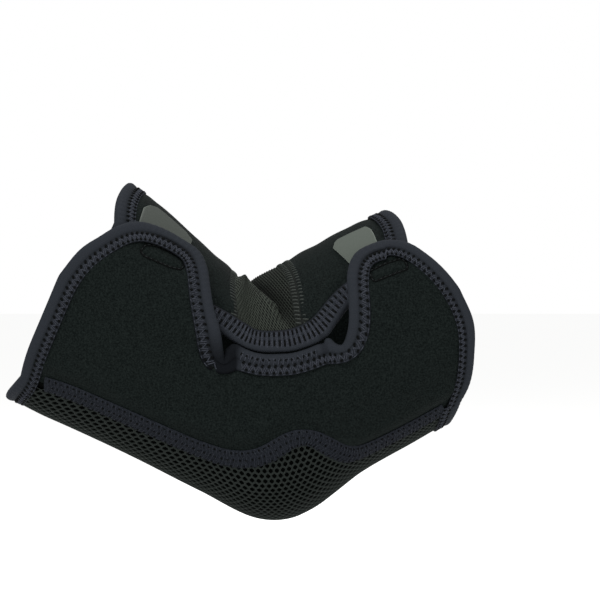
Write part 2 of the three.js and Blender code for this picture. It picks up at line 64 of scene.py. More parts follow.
def between(values, share):
    """A smooth curve through the values of a table's column, straight on past its ends."""
    values = np.asarray(values, float)
    last = len(values) - 1
    x = np.asarray(share, float) * last
    i = np.clip(np.floor(x).astype(int), 0, last - 1)
    f = x - i
    b, c = values[i], values[i + 1]
    a = np.where(i > 0, values[np.maximum(i - 1, 0)], 2 * b - c)
    d = np.where(i + 2 <= last, values[np.minimum(i + 2, last)], 2 * c - b)
    curve = b + 0.5 * f * (c - a + f * (2 * a - 5 * b + 4 * c - d + f * (3 * (b - c) + d - a)))
    return np.where((x < 0) | (x > last), b + (c - b) * f, curve)


def arm_centre(leg, reach):
    out = reach * (UPPER_REACH if leg == "upper" else FORE_REACH)
    slope = np.radians(180 - UPPER_SLOPE if leg == "upper" else FORE_SLOPE)
    return BEND_X + out * np.cos(slope), BEND_Z + out * np.sin(slope)


ARM_COLUMNS = np.array([(*arm_centre(leg, reach), *rest) for leg, reach, *rest in ARM]).T


def on_arm(along, turn):
    """The point on the bare arm at a place."""
    x, z, tilt, depth, width, egg, crest, heel = (between(column, along) for column in ARM_COLUMNS)
    angle = np.radians(turn)
    front = np.cos(angle)
    rise = front * depth / 2 + crest * np.maximum(front, 0) ** 3 - heel * np.maximum(-front, 0) ** 3
    across = -np.sin(angle) * (1 + egg * np.cos(angle)) * width / 2
    tilt = np.radians(tilt)
    return np.stack([x + np.cos(tilt) * rise, across, z + np.sin(tilt) * rise], axis=-1)


def slopes(along, turn):
    """How a point moves per unit of along and per degree of turn, and which way is outward."""
    step, degrees = 0.002, 0.3
    lengthwise = (on_arm(along + step, turn) - on_arm(along - step, turn)) / (2 * step)
    round_arm = (on_arm(along, turn + degrees) - on_arm(along, turn - degrees)) / (2 * degrees)
    out = np.cross(round_arm, lengthwise)
    return lengthwise, round_arm, out / np.linalg.norm(out, axis=-1, keepdims=True)


def raised(along, turn, height):
    """The point that stands `height` mm off the arm at a place."""
    out = slopes(along, turn)[2]
    return on_arm(along, turn) + out * np.broadcast_to(height, np.shape(along))[..., None]


def smooth(value, low, high):
    x = np.clip((np.asarray(value, float) - low) / (high - low), 0, 1)
    return x * x * (3 - 2 * x)


def bump(distance, reach):
    """1 where the distance is nothing, and softly less over `reach`."""
    return np.exp(-(distance / reach) ** 2)


def traced(rows, count):
    """An outline's along and turn at even shares of its table."""
    share = np.linspace(0, 1, count)
    return between([r[0] for r in rows], share), between([r[1] for r in rows], share)


def turn_at(rows, along):
    fine_along, fine_turn = traced(rows, 3000)
    return np.interp(along, fine_along, fine_turn)


def put(name, data):
    item = bpy.data.objects.new(name, data)
    bpy.context.collection.objects.link(item)
    return item


def sewn(name, points, faces, material):
    """A mesh object of one piece, in metres, with soft faces and crisp edges."""
    used, faces = np.unique(faces, return_inverse=True)
    mesh = bpy.data.meshes.new(name)
    corners = [list(dict.fromkeys(face)) for face in faces.reshape(-1, 4).tolist()]
    mesh.from_pydata((points[used] * MM).tolist(), [], corners)
    mesh.shade_smooth()
    mesh.set_sharp_from_angle(angle=np.radians(50))
    mesh.materials.append(material)
    piece = put(name, mesh)
    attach(piece, "root")
    return piece, used


def band(start, after, here, following):
    """Faces from one ring of corners to the next."""
    faces = [start + here, start + following, after + following, after + here]
    return np.stack(faces, -1).reshape(-1, 4)


def wall(name, along, turn, low, high, material, keep=None, ahead=0):
    """A closed wall of cloth over a grid of places, from height low to height high.

    `ahead` is how far along the arm its outer face is carried past its inner face.
    """
    count = along.size
    place = np.arange(count).reshape(along.shape)
    keep = np.ones(np.array(along.shape) - 1, bool) if keep is None else keep
    around = np.pad(keep, 1)
    a, b, c, d = place[:-1, :-1], place[1:, :-1], place[1:, 1:], place[:-1, 1:]
    faces = [
        np.stack([a, d, c, b], -1)[keep] + count,
        np.stack([a, b, c, d], -1)[keep],
    ]
    for beside, p, q in (
        (around[:-2, 1:-1], d, a),
        (around[1:-1, :-2], a, b),
        (around[2:, 1:-1], b, c),
        (around[1:-1, 2:], c, d),
    ):
        rim = np.stack([p + count, q + count, q, p], -1)
        faces.append(rim[keep & ~beside])
    points = np.concatenate([
        raised(along, turn, low).reshape(-1, 3), raised(along + ahead, turn, high).reshape(-1, 3)
    ])
    piece, used = sewn(name, points, np.concatenate(faces), material)
    return piece, used % count


def coons(bottom, top, left, right, s, w):
    """A grid of places between four outlines, each given as along and turn."""
    grid = []
    for low, high, start, end in zip(bottom, top, left, right):
        grid.append(
            np.outer(low, 1 - w) + np.outer(high, w) + np.outer(1 - s, start) + np.outer(s, end)
            - np.outer(1 - s, 1 - w) * low[0] - np.outer(s, 1 - w) * low[-1]
            - np.outer(1 - s, w) * high[0] - np.outer(s, w) * high[-1]
        )
    return grid


# The near mesh seam and the front edge, each a row of (along, turn)
MESH_SEAM = [
    (0.016, 142.5), (0.1, 136.5), (0.2, 134.5), (0.3, 132.3), (0.4, 128.8), (0.48, 121),
    (0.54, 116), (0.6, 111.3), (0.655, 114), (0.7, 128.5), (0.745, 143), (0.82, 146.3), (0.9, 147.3),
    (1, 148),
]
FRONT_EDGE = [
    (0.095, 64), (0.13, 67.5), (0.22, 68), (0.31, 66), (0.4, 63.8), (0.49, 63.2), (0.58, 66.5),
    (0.66, 70), (0.735, 71.5), (0.775, 67.5), (0.82, 62.5), (0.88, 60.5), (0.95, 62), (0.99, 59),
]
# From the far mesh seam over the crook to the front edge, at each end and beside the knit
UPPER_CUFF = [
    (0.016, -142.5), (0.014, -108), (0.013, -73), (0.012, -38), (0.011, -3), (0.02, 31),
    (0.095, 64),
]
KNIT_UPPER_SIDE = [
    (0.44, -125), (0.437, -98), (0.434, -68), (0.43, -36), (0.424, -3), (0.427, 31),
    (0.452, 64.3),
]
KNIT_FORE_SIDE = [
    (0.68, -121), (0.69, -97), (0.7, -68), (0.69, -36), (0.668, -3), (0.698, 34), (0.69, 71.7),
]
FORE_CUFF = [
    (1, -148), (1.01, -110), (1.01, -74), (1.0, -39), (0.984, -3), (1.005, 30), (0.99, 59),
]
KNIT_START, KNIT_END = 0.43, 0.69  # along the arm, near enough for soft forms
CUT_OUT_START = 8 / 18  # share of the way round from the far seam where the knit starts
SEAM_GAP = 0.4  # from the middle of a seam to each cloth beside it
SEAM_START = MESH_SEAM[0][0]


def crosswise(rows, share):
    """An outline across the front, with its ends on the far mesh seam and on the front edge."""
    along = [r[0] for r in rows]
    turn = [-turn_at(MESH_SEAM, along[0]), *(r[1] for r in rows[1:-1]),
            turn_at(FRONT_EDGE, along[-1])]
    return between(along, share), between(turn, share)


def front_block(left, right, columns, shares):
    """A grid of places across the front, between two of its crosswise outlines."""
    s = np.linspace(0, 1, columns)
    low = left[0][0] + (right[0][0] - left[0][0]) * s
    high = left[-1][0] + (right[-1][0] - left[-1][0]) * s
    return coons(
        (low, -turn_at(MESH_SEAM, low)), (high, turn_at(FRONT_EDGE, high)),
        crosswise(left, shares), crosswise(right, shares), s, shares,
    )


def set_inputs(node, values):
    for name, value in values.items():
        node.inputs[name].default_value = value


def noise_relief(nodes, links, shader, size, depth):
    """Fine unevenness of a cloth's face: one grain of about `size` mm, pressed in by `depth` mm."""
    where = nodes.new("ShaderNodeTexCoord")
    grain = nodes.new("ShaderNodeTexNoise")
    set_inputs(grain, {"Scale": 1 / (size * MM), "Detail": 2.0})
    relief = nodes.new("ShaderNodeBump")
    set_inputs(relief, {"Distance": depth * MM})
    links.new(where.outputs["Object"], grain.inputs["Vector"])
    links.new(grain.outputs["Fac"], relief.inputs["Height"])
    links.new(relief.outputs["Normal"], shader.inputs["Normal"])
    return grain


def finish_of(name, dark, light, roughness, grain, depth, sheen=0.0, shine=0.02):
    """A cloth or thread finish whose colour varies from dark to light with its grain."""
    material = bpy.data.materials.new(name)
    material.use_nodes = True
    nodes, links = material.node_tree.nodes, material.node_tree.links
    shader = nodes["Principled BSDF"]
    set_inputs(shader, {"Roughness": roughness, "Sheen Weight": sheen, "Sheen Roughness": 0.45,
                        "Specular IOR Level": shine})
    noise = noise_relief(nodes, links, shader, grain, depth)
    shade = nodes.new("ShaderNodeValToRGB")
    shade.color_ramp.elements[0].position = 0.32
    shade.color_ramp.elements[0].color = (*dark, 1)
    shade.color_ramp.elements[1].position = 0.7
    shade.color_ramp.elements[1].color = (*light, 1)
    links.new(noise.outputs["Fac"], shade.inputs["Fac"])
    links.new(shade.outputs["Color"], shader.inputs["Base Color"])
    return material


JERSEY_DARK, JERSEY_LIGHT = (0.0014, 0.0022, 0.0021), (0.0052, 0.0072, 0.0067)
jersey = finish_of("black jersey", JERSEY_DARK, JERSEY_LIGHT, 0.85, 0.7, 0.15, sheen=0.006)


def swell(distance, width, press, puff=0.45):
    """How foam stands beside a line of sewing: pressed at the stitches, full a little way off."""
    past = np.clip(distance - width, 0, None)
    return -press * bump(past, 1.6) + puff * bump(past - 5.5, 3.2)


UPPER_COLUMNS, KNIT_COLUMNS, FORE_COLUMNS = 64, 26, 52
far_shares = np.linspace(0, 1, 118)
far_blocks = [
    front_block(UPPER_CUFF, KNIT_UPPER_SIDE, UPPER_COLUMNS, far_shares),
    front_block(KNIT_UPPER_SIDE, KNIT_FORE_SIDE, KNIT_COLUMNS, far_shares),
    front_block(KNIT_FORE_SIDE, FORE_CUFF, FORE_COLUMNS, far_shares),
]
far_along, far_turn = (
    np.concatenate([far_blocks[0][k], far_blocks[1][k][1:], far_blocks[2][k][1:]]) for k in (0, 1)
)
DEGREE = 0.75  # mm that one degree of turn covers, near enough for soft forms
UPPER_LENGTH, FORE_LENGTH = 175, 150  # mm that one unit of along covers on each leg
far_turn[:, 0] += SEAM_GAP / DEGREE
far_keep = np.ones((far_along.shape[0] - 1, far_along.shape[1] - 1), bool)
cut_out = slice(UPPER_COLUMNS - 1, UPPER_COLUMNS + KNIT_COLUMNS - 2)
far_keep[cut_out, far_shares[:-1] >= CUT_OUT_START - 0.001] = False
from_front_edge = (turn_at(FRONT_EDGE, far_along) - far_turn) * DEGREE
from_cuffs = np.minimum(far_along * UPPER_LENGTH, (1.0 - far_along) * FORE_LENGTH)
far_swell = swell(np.minimum(from_front_edge, from_cuffs), width=7.3, press=0.5, puff=0.3)
# Each end of the knit presses the foam on its own side of the crook only
OTHER_SIDE = 40
from_knit = np.minimum(
    np.abs(far_along - KNIT_START) * 115 + OTHER_SIDE * (far_along > 0.5),
    np.abs(far_along - KNIT_END) * 150 + OTHER_SIDE * (far_along < 0.6))
beside_knit = smooth(far_shares[None, :], 0.42, 0.5)
far_swell = far_swell - 0.3 * bump(from_knit, 2.6) * beside_knit
# Slight waves where the arm's bend slackens the cloth on both sides of the crook
WAVE = 0.21
upper_slack = bump(far_along - 0.42, 0.12)
fore_slack = bump(far_along - 0.76, 0.09)
far_waves = WAVE * np.sin(far_along * 55 + far_turn * 0.05) * upper_slack
far_waves += WAVE * np.sin(far_along * 60 + 1.0) * fore_slack
far_panel, _ = wall("far_panel_jersey", far_along, far_turn, 0.0,
                    NEOPRENE + far_swell + far_waves, jersey, far_keep)
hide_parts("far_panel")

# Mesh panel.
# Spacer mesh over the back of the arm and the point of the elbow: a knitted net of six-sided
# holes that stands on a darker backing. It is sewn between the near and the far mesh seams.
MESH_THICKNESS = 2.5
MESH_FORE_END = 0.965  # the panel is shorter in the middle of its forearm end
HOLE_PITCH, HOLE_ROW = 3.0, 2.15  # from hole to hole along a row, and from row to row
HOLE_SIDES = 6
NET_THREAD = 0.95  # height of the net above the backing
NET_COLUMNS, NET_ROWS = 45, 95  # holes each way from the panel's middle, before the cut
NET_EDGE_TURN, NET_EDGE_ALONG = 3, 0.016  # what the seams and the tape cover at its edges
# along, and by how many degrees the rows of holes lean off the arm there: the cloth's grain runs
# level over the whole bent arm
NET_LEAN = [(0, 30), (0.3, 25), (0.45, 14), (0.55, 1), (0.65, -9), (0.8, -14), (1, -16)]


def painted_shading_finish(name, dark, light, roughness):
    """A finish coloured dark to light by the piece's stored relief values: painted shade in gaps and
    hollows, painted light on crests.
    """
    material = finish_of(name, light, light, roughness, 0.4, 0.05)
    nodes, links = material.node_tree.nodes, material.node_tree.links
    # The relief attribute carries painted shade and painted light into the base colour
    relief = nodes.new("ShaderNodeAttribute")
    relief.attribute_name = "relief"
    shade = nodes["Color Ramp"]
    shade.color_ramp.elements[0].position, shade.color_ramp.elements[1].position = 0.12, 0.85
    shade.color_ramp.elements[0].color = (*dark, 1)
    links.new(relief.outputs["Fac"], shade.inputs["Fac"])
    return material


def keep_painted_shading(piece, values):
    """Store each corner's painted shading, 0 for painted shade to 1 for painted light."""
    layer = piece.data.attributes.new("relief", "FLOAT", "POINT")
    layer.data.foreach_set("value", np.asarray(values, np.float32).ravel())


net_finish = painted_shading_finish("mesh yarn", (0.0006, 0.0008, 0.0007), (0.0112, 0.0134, 0.0122), 0.6)
backing_finish = finish_of("mesh backing", (0.0005, 0.0007, 0.0006), (0.0011, 0.0013, 0.0011), 0.9,
                           0.6, 0.1)
MESH_LENGTH, MESH_DEGREE = 188, 0.76  # mm to a unit of along and to a degree on the arm's back


def mesh_ends(across):
    """Where the panel starts and ends along the arm, at a share of its way from seam to seam."""
    middle = np.sin(np.pi * np.clip(across, 0, 1))
    return SEAM_START * (1 - middle), 1 - (1 - MESH_FORE_END) * middle


mesh_share = np.linspace(0, 1, 150)
mesh_start = turn_at(MESH_SEAM, SEAM_START + (1 - SEAM_START) * mesh_share) + SEAM_GAP / DEGREE
mesh_across = np.linspace(0, 1, 60)
mesh_low, mesh_high = mesh_ends(mesh_across)
mesh_along = mesh_low + np.outer(mesh_share, mesh_high - mesh_low)
mesh_turn = mesh_start[:, None] + (360 - 2 * mesh_start[:, None]) * mesh_across[None, :]


def mesh_puff(along, turn):
    """The spacer mesh stands fuller between its seams, most of all under the elbow's point."""
    seam = turn_at(MESH_SEAM, along)
    from_side = np.minimum(turn - seam, 360 - seam - turn) * MESH_DEGREE
    full = smooth(from_side, 2, 16) * smooth(along, -0.02, 0.08) * (1 - smooth(along, 0.57, 0.68))
    return full * (1.2 + 0.6 * bump(along - 0.54, 0.07))


mesh_stand = mesh_puff(mesh_along, mesh_turn)
mesh_backing, _ = wall("mesh_backing", mesh_along, mesh_turn, mesh_stand * 0.6,
                       MESH_THICKNESS - NET_THREAD + mesh_stand, backing_finish)
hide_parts("mesh_panel")


def row_drift(along):
    """How far round the arm, in mm, the rows of holes have drifted at a place along it."""
    fine = np.linspace(-0.05, 1.05, 400)
    lean = np.tan(np.radians(np.interp(fine, *zip(*NET_LEAN))))
    return np.interp(along, fine, np.cumsum(lean) * (fine[1] - fine[0]) * MESH_LENGTH)


# A cell of the net, from its border inward: share of its size, height, and how light it lies, a painted
# shade that darkens down into the hole
NET_RINGS = [(1.0, 0.0, 0.75), (0.87, 0.16, 1.0), (0.73, 0.0, 0.75), (0.63, -0.32, 0.25),
             (0.61, -NET_THREAD - 0.05, 0.0)]


def net(name, finish):
    """The net's yarn: round each hole a raised border that drops inward to the backing."""
    half, tip = HOLE_PITCH / 2, HOLE_PITCH ** 2 / (8 * HOLE_ROW)
    i, j = np.meshgrid(np.arange(-NET_COLUMNS, NET_COLUMNS + 1), np.arange(-NET_ROWS, NET_ROWS + 1),
                       indexing="ij")
    middle_east, middle_north = HOLE_PITCH * (i + (j % 2) / 2), HOLE_ROW * j

    def place(east, north):
        along = 0.5 + east / MESH_LENGTH
        return along, 180 + (north - row_drift(along) + row_drift(0.5)) / MESH_DEGREE

    a, t = place(middle_east, middle_north)
    seam = turn_at(MESH_SEAM, a)
    first, end = mesh_ends((t - seam) / (360 - 2 * seam))
    inside = (t > seam + NET_EDGE_TURN) & (t < 360 - NET_EDGE_TURN - seam)
    inside &= (a < end - NET_EDGE_ALONG) & (a > first + NET_EDGE_ALONG)
    middle_east, middle_north = middle_east[inside], middle_north[inside]
    east = np.array([0, -half, -half, 0, half, half])
    north = np.array([HOLE_ROW / 2 + tip, HOLE_ROW / 2 - tip, tip - HOLE_ROW / 2,
                      -HOLE_ROW / 2 - tip, tip - HOLE_ROW / 2, HOLE_ROW / 2 - tip])
    points, shades = [], []
    for size, height, shade in NET_RINGS:
        along, turn = place(middle_east[:, None] + size * east, middle_north[:, None] + size * north)
        points.append(raised(along, turn, MESH_THICKNESS + height + mesh_puff(along, turn)))
        shades.append(np.full(along.shape, shade))
    points, shades = np.stack(points, 1), np.stack(shades, 1)
    cell = np.arange(len(middle_east))[:, None] * HOLE_SIDES * len(NET_RINGS)
    corner = np.arange(HOLE_SIDES)[None, :]
    following = (corner + 1) % HOLE_SIDES
    faces = []
    for ring in range(len(NET_RINGS) - 1):
        inner, outer = cell + (ring + 1) * HOLE_SIDES, cell + ring * HOLE_SIDES
        faces.append(band(outer, inner, corner, following))
    piece, used = sewn(name, points.reshape(-1, 3), np.concatenate(faces), finish)
    keep_painted_shading(piece, shades.ravel()[used])
    return piece


mesh_net = net("mesh_net", net_finish)

# Knit insert.
# Ribbed elastic knit let into the crook, so that the brace bends. The arm's bend folds it over
# itself: a lobe on the upper arm's side overhangs a crease that leans towards the forearm.
KNIT = 2.0
RIB_PITCH = 0.95
STITCH_PITCH = 1.7  # along a rib
RIB_DEPTH = 0.34
# along, and how far on a rib there has run by the time it is round at the side
RIB_LEAN = [(0.43, 0.5), (0.57, 0.36), (0.7, 0.22)]
FOLD_HEIGHT = 4.2
FOLD_NOSE = 2.4  # mm of knit that goes round the fold's edge
# Where the crease starts, how far it leans by CREASE_TURN degrees, and how much it bends
CREASE_ALONG, CREASE_LEAN, CREASE_TURN, CREASE_BEND = 0.475, 0.19, 60, 1.4

knit_shares = CUT_OUT_START + (1 - CUT_OUT_START) * np.linspace(0, 1, 200)
knit_along, knit_turn = front_block(KNIT_UPPER_SIDE, KNIT_FORE_SIDE, 190, knit_shares)
# mm that one unit of along covers in the crook
crook_length = np.linalg.norm(on_arm(KNIT_END, 15.0) - on_arm(KNIT_START, 15.0))
crook_length /= KNIT_END - KNIT_START


def behind_crease(along, turn):
    """How many mm a place lies behind the crease, on the upper arm's side of it."""
    lean = CREASE_LEAN * np.minimum(np.abs(turn) / CREASE_TURN, 1.25) ** CREASE_BEND
    return (CREASE_ALONG + lean - along) * crook_length


def knit_fold(along, turn):
    """How far the fold stands up, and how far its edge hangs forward over the crease."""
    behind = behind_crease(along, turn)
    sides = smooth(along, 0.427, 0.455) * (1 - smooth(np.abs(turn), 44, 58))
    full = smooth(turn, 2, 17) * sides  # the far side's fold stays low
    round_nose = np.pi * np.clip(behind / FOLD_NOSE, 0, 1)
    stand = FOLD_HEIGHT / 2 * (1 - np.cos(round_nose)) * (1 - smooth(behind, 3.0, 14))
    hang = np.clip(behind, 0, FOLD_NOSE) * (1 - smooth(behind, FOLD_NOSE, 9))
    hang = hang + FOLD_HEIGHT / 2 * np.sin(round_nose)
    reach = np.where(behind > 0, 8.0, 5.0)
    dip = 3.3 * bump(behind, reach) * sides * (1 - 0.9 * full)
    pocket = 1.1 * bump(behind + 3.0, 3) * full
    return stand * full - dip - pocket, hang * full / crook_length


def knit_relief(along, turn):
    """The ribs run down from the crease; each is a column of small stitches, 1 on top."""
    lean = np.interp(along, *zip(*RIB_LEAN)) * (1 - np.cos(np.radians(turn)))
    across = (along - lean) * crook_length / RIB_PITCH
    down = turn * DEGREE / STITCH_PITCH + 0.5 * np.floor(across)
    rib = 0.5 + 0.5 * np.cos(2 * np.pi * across)
    stitch = 0.5 + 0.5 * np.cos(2 * np.pi * (down + 0.35 * np.abs(across - np.round(across))))
    return rib ** 0.8 * (0.25 + 0.75 * stitch)


knit_finish = painted_shading_finish("ribbed knit", (0.0018, 0.0022, 0.0019), (0.036, 0.0415, 0.0345), 0.8)
knit_stand, knit_hang = knit_fold(knit_along, knit_turn)
# The ribs are laid where the folded cloth comes to lie, so they run on over the fold
relief = knit_relief(knit_along + 0.9 * knit_hang, knit_turn)
knit_insert, knit_used = wall("ribbed_knit", knit_along, knit_turn, knit_stand,
                              KNIT + knit_stand + (relief - 0.6) * RIB_DEPTH, knit_finish,
                              ahead=knit_hang)
# Painted shade darkens the ribs in front of the fold's crease, and painted light brightens the lobe
# behind it
crease_gap = behind_crease(knit_along, knit_turn)
closed = bump(crease_gap + 1.5, 4.2) * (crease_gap < 0.3)
closed *= smooth(62 - knit_turn, 0, 40)
painted_lobe_light = 0.62 + 0.38 * smooth(crease_gap, -0.5, 2.0) * (1 - smooth(crease_gap, 12, 20))
# The rib pattern sets the colour too, as painted shade in the gaps between the ribs
keep_painted_shading(knit_insert, (relief * painted_lobe_light * (1 - 0.9 * closed)).ravel()[knit_used])
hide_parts("knit_insert")

# Side panel.
# The cut of neoprene that shows most: from the mesh seam up to the two wings, and between them
# sewn to the front edge along the crook. The wings ride over the front panel and its hook tabs,
# and each has a box of stitching that holds the tab sewn under it.
LAP = 5.2  # how far a wing's underside lies above the arm
UPPER_WING_EDGE = [
    (-0.004, 84.3), (0.009, 70.7), (0.034, 60.6), (0.058, 51.8), (0.095, 44.3), (0.152, 39.5),
    (0.208, 37.1), (0.262, 36.7), (0.298, 42.9), (0.323, 51.8), (0.347, 60.3), (0.379, 68.6),
    (0.409, 79),
]
FORE_WING_EDGE = [
    (0.748, 74.5), (0.762, 79.8), (0.783, 82.3), (0.805, 78.3), (0.823, 71.7), (0.837, 62.8),
    (0.851, 52.5), (0.882, 45.2), (0.925, 44.6), (0.965, 46.8), (1.006, 53.8), (1.039, 65.0),
    (1.063, 75.3), (1.078, 84.6),
]
SIDE_UPPER_CUFF = [(0.016, 142.5), (0.009, 125.3), (0.004, 105.3), (-0.004, 84.3)]
SIDE_FORE_CUFF = [(1, 148), (1.033, 137.0), (1.061, 121.6), (1.084, 103.8), (1.078, 84.6)]
SLIT_END, CROOK_START, CROOK_END = 0.418, 0.424, 0.742
CROOK_JOINT = 3.2  # from the front edge to the side panel, with both edges' tape between


def lift(along, turn):
    """How far a wing stands off the arm: full over the front panel, nothing behind its edge."""
    upper_fade = 28 - 14 * smooth(along, 0.12, 0.36)
    on_upper = (1 - smooth(along, 0.396, 0.422)) * (1 - smooth((turn - 69) / upper_fade, 0, 1))
    on_fore = smooth(along, 0.745, 0.81) * (1 - smooth(turn, 65, 94))
    return LAP * np.where(np.asarray(turn) < 180, on_upper + on_fore, 0)


def side_outline():
    """The upper edge, from the upper wing's foot over both wings to the forearm wing's foot."""
    upper = traced(UPPER_WING_EDGE, 90)
    crook_along = np.linspace(CROOK_START, CROOK_END, 60)
    crook_turn = turn_at(FRONT_EDGE, crook_along)
    to_a_degree = np.linalg.norm(slopes(crook_along, crook_turn)[1], axis=-1)
    crook_turn = crook_turn + CROOK_JOINT / to_a_degree
    # The corner beside the slit is rounded off, and so is the one at the forearm wing's foot
    crook_turn += 5.0 * bump(crook_along - CROOK_START, 0.014)
    crook_turn += 1.6 * bump(crook_along - CROOK_END, 0.012)
    fore = traced(FORE_WING_EDGE, 110)
    slit = (np.linspace(0.412, SLIT_END, 3), np.full(3, UPPER_WING_EDGE[-1][1]))
    parts = (upper, slit, (crook_along, crook_turn), fore)
    return np.concatenate([p[0] for p in parts]), np.concatenate([p[1] for p in parts])


def side_places(rows):
    """A grid of places from the mesh seam up to the upper edge, bulged out at both cuffs."""
    high_along, high_turn = side_outline()
    s = (high_along - high_along[0]) / (high_along[-1] - high_along[0])
    w = 1 - (1 - np.linspace(0, 1, rows)) ** 1.2
    seam_along = SEAM_START + (1 - SEAM_START) * s
    low = (seam_along, turn_at(MESH_SEAM, seam_along) - SEAM_GAP / DEGREE)
    grid = []
    for k, (start, end) in enumerate(zip(low, (high_along, high_turn))):
        bulge = [
            between([r[k] for r in rows_], w) - (rows_[0][k] + (rows_[-1][k] - rows_[0][k]) * w)
            for rows_ in (SIDE_UPPER_CUFF, SIDE_FORE_CUFF)
        ]
        grid.append(np.outer(start, 1 - w) + np.outer(end, w)
                    + np.outer(1 - s, bulge[0]) + np.outer(s, bulge[1]))
    return grid


# The stitched boxes, as corners in along and turn
UPPER_BOX = [
    (0.13, 55.8), (0.134, 51.0), (0.161, 48), (0.208, 46), (0.242, 45.5), (0.239, 52),
    (0.21, 54.4), (0.141, 57.2),
]
FORE_BOX = [
    (0.896, 56.1), (0.938, 56.2), (0.979, 57.6), (0.986, 61.1), (0.985, 64.6), (0.939, 63.2),
    (0.896, 62.2),
]


SIDE_LENGTH = 165  # mm that one unit of along covers, near enough for the foam's form


def from_line(along, turn, corners):
    """Distance in mm from a closed line of stitching."""
    x, y = along * SIDE_LENGTH, turn * DEGREE
    nearest = np.full(np.shape(along), 1e9)
    for (a0, t0), (a1, t1) in zip(corners, corners[1:] + corners[:1]):
        p = np.array([a0 * SIDE_LENGTH, t0 * DEGREE])
        q = np.array([a1 * SIDE_LENGTH, t1 * DEGREE])
        run = q - p
        f = np.clip(((x - p[0]) * run[0] + (y - p[1]) * run[1]) / (run @ run), 0, 1)
        nearest = np.minimum(nearest, np.hypot(x - p[0] - f * run[0], y - p[1] - f * run[1]))
    return nearest


side_along, side_turn = side_places(120)
side_top = np.broadcast_to(side_outline()[1][:, None], side_turn.shape)
from_top = (side_turn - side_top) * DEGREE
from_seam = (turn_at(MESH_SEAM, side_along) - side_turn) * DEGREE
side_height = swell(from_top, width=7.4, press=0.55)
side_height += swell(from_seam, width=4.4, press=0.5, puff=0.55)
for box in (UPPER_BOX, FORE_BOX):
    side_height -= 0.75 * bump(from_line(side_along, side_turn, box), 1.1)
# Drag lines that fan out from the ends of the crook, and a slack fold below it
upper_drag = bump(side_along - 0.46, 0.1) * bump(side_turn - 90, 13)
fore_drag = bump(side_along - 0.76, 0.09) * bump(side_turn - 98, 14)
side_height += 0.45 * np.sin(side_along * 70 - side_turn * 0.16) * upper_drag
side_height += 0.4 * np.sin(side_along * 62 + side_turn * 0.15) * fore_drag
side_lift = lift(side_along, side_turn)
# The grid runs up from the seam, so its rows are turned round to face outward
side_panel, _ = wall("side_panel_jersey", side_along[:, ::-1], side_turn[:, ::-1],
                     side_lift[:, ::-1], (NEOPRENE + side_lift + side_height)[:, ::-1], jersey)
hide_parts("side_panel")

# Stitching thread.
# Spun polyester, a little lighter and bluer than the cloth. Each stitch is its own short strand
# that comes up out of the cloth, lies over it and goes back down.
thread_finish = finish_of("navy thread", (0.009, 0.0102, 0.0135), (0.026, 0.0285, 0.035), 0.65, 0.4, 0.05)
# Near black: its strands are needle thread, and also paint the shade of needle holes and furrows
needle_thread_and_shade_finish = finish_of("black needle thread and painted shade", (0.0008, 0.0009, 0.001), (0.002, 0.0022, 0.0022),
                          0.7, 0.35, 0.05)
box_thread_finish = finish_of("box thread", (0.004, 0.005, 0.005), (0.012, 0.014, 0.014), 0.7, 0.35, 0.05)
STRAND_POINTS = 7  # places along one stitch
CORNER_CUT, TAPE_EASE = 2.5, 12.0  # mm over which an edge, and its tape deeper in, cut a corner
CROWDED = 0.4  # share of its pitch that a stitch needs clear


def strands(name, along, turn, height, wide, tall, finish, sides=5):
    """Many strands at once: each row of along and turn is the middle line of one strand."""
    line = raised(along, turn, height)
    out = slopes(along, turn)[2]
    run = np.gradient(line, axis=1)
    across = np.cross(run, out)
    across /= np.linalg.norm(across, axis=-1, keepdims=True)
    angle = np.radians(np.arange(sides) * 360 / sides)
    ring = (line[:, :, None] + across[:, :, None] * (wide / 2 * np.cos(angle))[None, None, :, None]
            + out[:, :, None] * (tall / 2 * np.sin(angle))[None, None, :, None])
    count, length = along.shape
    first = np.arange(count)[:, None, None] * length * sides
    step = np.arange(length - 1)[None, :, None] * sides
    side, next_side = np.arange(sides)[None, None, :], (np.arange(sides)[None, None, :] + 1) % sides
    tube = band(first + step, first + step + sides, side, next_side)
    ends = []
    for at, order in ((0, 1), ((length - 1) * sides, -1)):
        for k in range(1, sides - 1):
            corners = [0, k, k + 1, k + 1][:: -order]
            ends.append(np.stack([first[:, 0, 0] + at + corner for corner in corners], -1))
    faces = np.concatenate([tube, *ends])
    return sewn(name, ring.reshape(-1, 3), faces, finish)[0]


def paced(along, turn, step):
    """An edge at even steps in mm: its places, sharp and soft, and how its tape narrows."""
    points = on_arm(along, turn)
    length = np.concatenate([[0], np.cumsum(np.linalg.norm(np.diff(points, axis=0), axis=1))])
    at = np.linspace(0, length[-1], int(length[-1] / step) + 1)
    even_along, even_turn = (
        eased(np.interp(at, length, line), CORNER_CUT / step) for line in (along, turn))
    return {
        "at": at, "sharp": (even_along, even_turn), "narrow": np.zeros(len(at)),
        "soft": tuple(eased(line, TAPE_EASE / step) for line in (even_along, even_turn)),
    }


def eased(values, reach):
    """Values averaged with their neighbours, as tape and thread cut a corner short."""
    reach = int(reach)
    window = np.hanning(2 * reach + 1) / np.hanning(2 * reach + 1).sum()
    return np.convolve(np.pad(values, reach, mode="reflect", reflect_type="odd"), window, "valid")


